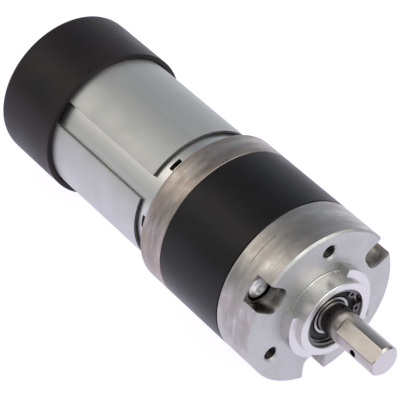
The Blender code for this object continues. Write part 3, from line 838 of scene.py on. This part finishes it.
def build_bearing(materials):
    """The front bearing's two rings, each with wide round corners on its fitted side, and its seal."""
    wide, fine = 0.3, 0.1
    back, front = BEARING_BACK, BEARING_FRONT
    bore, outer = OUTER_RING_BORE, BEARING_RADIUS - BEARING_GAP
    profile = rounded([(bore, back, fine), (outer, back, wide), (outer, front, wide), (bore, front, fine)])
    ring = lathe("front_bearing_outer_fine", profile, 128)
    smooth(ring)
    fit(ring, "housing", "front_bearing_outer_ring", materials["bearing_steel"])
    bore, outer = SHAFT_RADIUS + BEARING_GAP, INNER_RING_RADIUS
    profile = rounded([(bore, back, wide), (outer, back, fine), (outer, front, fine), (bore, front, wide)])
    ring = lathe("front_bearing_inner_fine", profile, 128)
    smooth(ring)
    fit(ring, "output", "front_bearing_inner_ring", materials["bearing_steel"])
    back, front = stations("front_bearing_seal")
    profile = rounded([
        (5.3, back, 0.1), (6.7, back, 0.1), (6.7, front, 0.15), (6.3, front, 0.1), (6.15, front - 0.2, 0.1),
        (5.7, front - 0.2, 0.1), (5.55, front, 0.1), (5.3, front, 0.1),
    ])
    seal = lathe("front_bearing_seal_fine", profile, 128)
    smooth(seal)
    fit(seal, "housing", "front_bearing_seal", materials["nitrile"])


def build_circlip(materials):
    """The retaining ring in the nose, with an ear on each side of its gap."""
    back, front = stations("retaining_ring")
    start = RETAINER_GAP_ANGLE + RETAINER_HALF_GAP
    end = RETAINER_GAP_ANGLE + 360 - RETAINER_HALF_GAP
    band = sector(RETAINER_INNER_RADIUS, RETAINER_OUTER_RADIUS, start, end)
    clip = slab("retaining_ring_fine", [band], back, front)
    for low in (start + 1, end - 1 - EAR_SPAN):
        ear = sector(EAR_INNER_RADIUS, EAR_OUTER_RADIUS, low, low + EAR_SPAN)
        combine(clip, slab("ear", [ear], back + 0.1, front - 0.1), "UNION")
        eye = circle(EYE_RADIUS, 24, at_clock(EYE_CIRCLE_RADIUS, low + EAR_SPAN / 2))
        combine(clip, slab("eye", [eye], back - CUT_PAST, front + CUT_PAST))
    smooth(clip, 0.08, 38)
    fit(clip, "housing", "retaining_ring", materials["spring_steel"])


# The motor's outside.


def build_can(materials):
    inner = CAN_RADIUS - CAN_WALL
    wall = CAN_FRONT - CAN_FRONT_WALL
    profile = rounded([
        (CAN_BORE_RADIUS, CAN_FRONT, 0.3), (CAN_RADIUS, CAN_FRONT, 1.2), (CAN_RADIUS, CAN_BACK, 0.2),
        (inner, CAN_BACK, 0.1), (inner, wall, 0.4), (CAN_BORE_RADIUS, wall, 0),
    ], 6)
    can = lathe("motor_can_fine", profile)
    for x in (-MOTOR_SCREW_OFFSET, MOTOR_SCREW_OFFSET):
        hole = circle(CLEARANCE_RADIUS, 32, (x, 0))
        combine(can, slab("screw_hole", [hole], wall - CUT_PAST, CAN_FRONT + CUT_PAST))
    half = WINDOW_WIDTH / 2
    for angle in WINDOW_ANGLES:
        outline = rounded_box(-half, half, WINDOW_BACK, WINDOW_FRONT, 0.35)
        place = clock_turn(angle) @ laid("xzy")
        combine(can, slab("window", [outline], CAN_RADIUS - 3, CAN_RADIUS + 2, place))
    smooth(can, 0.1, 38)
    fit(can, "housing", "motor_can", materials["plated_can"])


def build_sleeve(materials):
    outline = sector(SLEEVE_RADIUS - SLEEVE_WALL, SLEEVE_RADIUS, SLEEVE_START, SLEEVE_END)
    sleeve = slab("flux_sleeve_fine", [outline], SLEEVE_BACK, SLEEVE_FRONT)
    smooth(sleeve, 0.15, 38)
    fit(sleeve, "housing", "flux_sleeve", materials["plated_sleeve"])


def build_cap(materials):
    """The cover: a cup whose back is sunk inside a raised rim, with a boss round each terminal's slot."""
    inner = CAP_RADIUS - CAP_WALL
    floor = CAP_BACK + CAP_FLOOR
    sunk = CAP_BACK + CAP_RECESS
    profile = rounded([
        (0, sunk, 0), (CAP_RIM_RADIUS - 0.5, sunk, 0.1), (CAP_RIM_RADIUS, CAP_BACK, 0.15),
        (CAP_RADIUS - 0.1, CAP_BACK, 1.6), (CAP_RADIUS, CAP_BACK + 3, 0.5), (CAP_RADIUS, CAP_FRONT, 0.3),
        (inner, CAP_FRONT, 0.3), (inner, floor, 0.6), (0, floor, 0),
    ], 6)
    cap = lathe("rear_cap_fine", profile)
    for x in (-TERMINAL_OFFSET, TERMINAL_OFFSET):
        wide, high = BOSS_WIDTH / 2, BOSS_HEIGHT / 2
        boss = rounded_box(x - wide, x + wide, -high, high, 0.8)
        combine(cap, slab("boss", [boss], CAP_BACK, CAP_BACK + 1), "UNION")
        wide, high = SLOT_WIDTH / 2, SLOT_HEIGHT / 2
        slot = rounded_box(x - wide, x + wide, -high, high, 0.2)
        combine(cap, slab("slot", [slot], CAP_BACK - CUT_PAST, floor + CUT_PAST))
    smooth(cap, angle=38)
    fit(cap, "housing", "rear_cap", materials["black_plastic"])


def build_terminals(materials):
    """The two blades, each with a narrowed tip and a hole for the wire."""
    half = TERMINAL_THICKNESS / 2
    tip, root = TERMINAL_BACK, TERMINAL_FRONT
    narrow, wide = TERMINAL_TIP_WIDTH / 2, TERMINAL_WIDTH / 2
    blade_outline = rounded([
        (-narrow, tip, 0.15), (narrow, tip, 0.15), (wide, tip + 1.0, 0.3), (wide, root, 0),
        (-wide, root, 0), (-wide, tip + 1.0, 0.3),
    ])
    hole = circle(0.6, 32, (0, tip + 1.7))
    for letter, x in (("a", -TERMINAL_OFFSET), ("b", TERMINAL_OFFSET)):
        place = Matrix.Translation((x, 0, 0)) @ laid("yzx")
        blade = slab(f"terminal_{letter}_fine", [blade_outline, hole], -half, half, place)
        smooth(blade, 0.08, 38)
        fit(blade, "housing", f"terminal_{letter}", materials["tin"])


def paint_cad_nodes(materials):
    """Gives every CAD node that still shows the finish that the record names for it."""
    finishes = {part["node"]: part["material_slot"] for part in frame["record"]["subparts"]}
    for name, node in frame["nodes"].items():
        node.data.materials.clear()
        node.data.materials.append(materials[finishes[name]])


# The studio.


def towards_viewer(azimuth, elevation):
    """The direction from the object to a viewer at this azimuth and elevation, in degrees."""
    azimuth, elevation = math.radians(azimuth), math.radians(elevation)
    level = math.cos(elevation)
    return Vector((math.sin(azimuth) * level, -math.cos(azimuth) * level, math.sin(elevation)))


def stand_back(thing, target, back, distance):
    """Puts a camera or light this far back from the target, facing it."""
    thing.location = target + back * distance
    thing.rotation_mode = "QUATERNION"
    thing.rotation_quaternion = (-back).to_track_quat("-Z", "Y")


def make_camera():
    """The camera, far off with a long lens, above and to the left of the shaft's end."""
    azimuth = math.radians(CAMERA_AZIMUTH)
    back = towards_viewer(CAMERA_AZIMUTH, CAMERA_ELEVATION)
    right = Vector((math.cos(azimuth), math.sin(azimuth), 0))
    up = back.cross(right)
    target = Vector((0, 0, AXIS_Z)) - right * CAMERA_SHIFT_LEFT + up * CAMERA_SHIFT_UP
    camera = show("camera", bpy.data.cameras.new("camera"))
    camera.data.lens = CAMERA_LENS
    camera.data.sensor_width = 36
    stand_back(camera, target, back, CAMERA_DISTANCE)
    bpy.context.scene.camera = camera


def add_light(name, azimuth, elevation, distance, size, power, colour):
    """A square area light that points at the object."""
    data = bpy.data.lights.new(name, "AREA")
    data.energy = power
    data.size = size
    data.color = colour
    back = towards_viewer(azimuth, elevation)
    stand_back(show(name, data), Vector((0, 0, AXIS_Z)), back, distance)


def make_floor():
    """A plain pale floor that glows softly near the object, like a lit table."""
    paint = Painter("pale_floor")
    cloud = paint.noise(0.01, detail=2)
    colour = paint.blend(paint.spread(cloud, 0, 1), (0.15, 0.15, 0.155), (0.17, 0.17, 0.175))
    place = paint.nodes.new("ShaderNodeTexCoord").outputs["Object"]
    length = paint.nodes.new("ShaderNodeVectorMath")
    length.operation = "LENGTH"
    paint.feed(length.inputs[0], place)
    glow = paint.spread(length.outputs["Value"], 0.96, 0.75, GLOW_START, GLOW_END)
    far = paint.spread(length.outputs["Value"], 0, 1, GLOW_START, GLOW_END)
    tint = paint.blend(far, (1.0, 0.975, 1.16), (0.99, 0.99, 1.0))
    material = paint.finish(
        colour, 0.8, Specular_IOR_Level=0.0, Emission_Color=tint, Emission_Strength=glow
    )
    shape = bmesh.new()
    bmesh.ops.create_grid(shape, x_segments=8, y_segments=8, size=3)
    mesh = bpy.data.meshes.new("floor")
    shape.to_mesh(mesh)
    shape.free()
    mesh.materials.append(material)
    show("floor", mesh)


def light_sky(base, lobes):
    """A studio sky: an even base, with soft lobes of light (direction, power, colour)."""
    world = bpy.data.worlds.new("studio")
    world.use_nodes = True
    nodes, links = world.node_tree.nodes, world.node_tree.links
    direction = nodes.new("ShaderNodeTexCoord").outputs["Generated"]

    def vector_math(operation, first, second=None):
        node = nodes.new("ShaderNodeVectorMath")
        node.operation = operation
        for socket, value in zip(node.inputs, (first, second)):
            if isinstance(value, bpy.types.NodeSocket):
                links.new(value, socket)
            elif value is not None:
                socket.default_value = value
        return node

    total = base
    for towards, power, colour in lobes:
        facing = vector_math("DOT_PRODUCT", direction, Vector(towards).normalized()).outputs["Value"]
        for operation, number in (("MAXIMUM", 0.0), ("POWER", power)):
            step = nodes.new("ShaderNodeMath")
            step.operation = operation
            links.new(facing, step.inputs[0])
            step.inputs[1].default_value = number
            facing = step.outputs[0]
        lit = vector_math("SCALE", colour)
        links.new(facing, lit.inputs["Scale"])
        total = vector_math("ADD", total, lit.outputs[0]).outputs[0]
    links.new(total, nodes["Background"].inputs["Color"])
    bpy.context.scene.world = world


def light_studio():
    """Soft light: warm from behind on the left, brightest from above in front, cool from the right."""
    light_sky((0.24, 0.26, 0.29), [
        ((-0.45, 0.60, 0.66), 8.0, (0.84, 0.78, 0.68)),
        ((0.30, -0.60, 0.74), 12.0, (3.60, 3.55, 3.35)),
        ((-0.35, -0.80, 0.50), 16.0, (1.00, 1.00, 0.95)),
        ((0.80, 0.60, 0.05), 5.0, (0.42, 0.46, 0.52)),
        ((-0.80, 0.55, 0.05), 6.0, (0.22, 0.22, 0.22)),
    ])
    add_light(
        "key", azimuth=-143, elevation=41, distance=0.9, size=0.35, power=0.35, colour=(1.0, 0.96, 0.9)
    )
    add_light(
        "front", azimuth=-20, elevation=62, distance=0.9, size=0.3, power=1.0, colour=(1.0, 1.0, 1.0)
    )
    bpy.context.scene.view_settings.view_transform = "Standard"


make_camera()
light_studio()
make_floor()
materials = make_materials()
paint_cad_nodes(materials)
build_flange(materials)
build_rings(materials)
build_screws(materials)
build_shaft(materials)
build_bearing(materials)
build_circlip(materials)
build_can(materials)
build_sleeve(materials)
build_cap(materials)
build_terminals(materials)
bpy.context.view_layer.update()
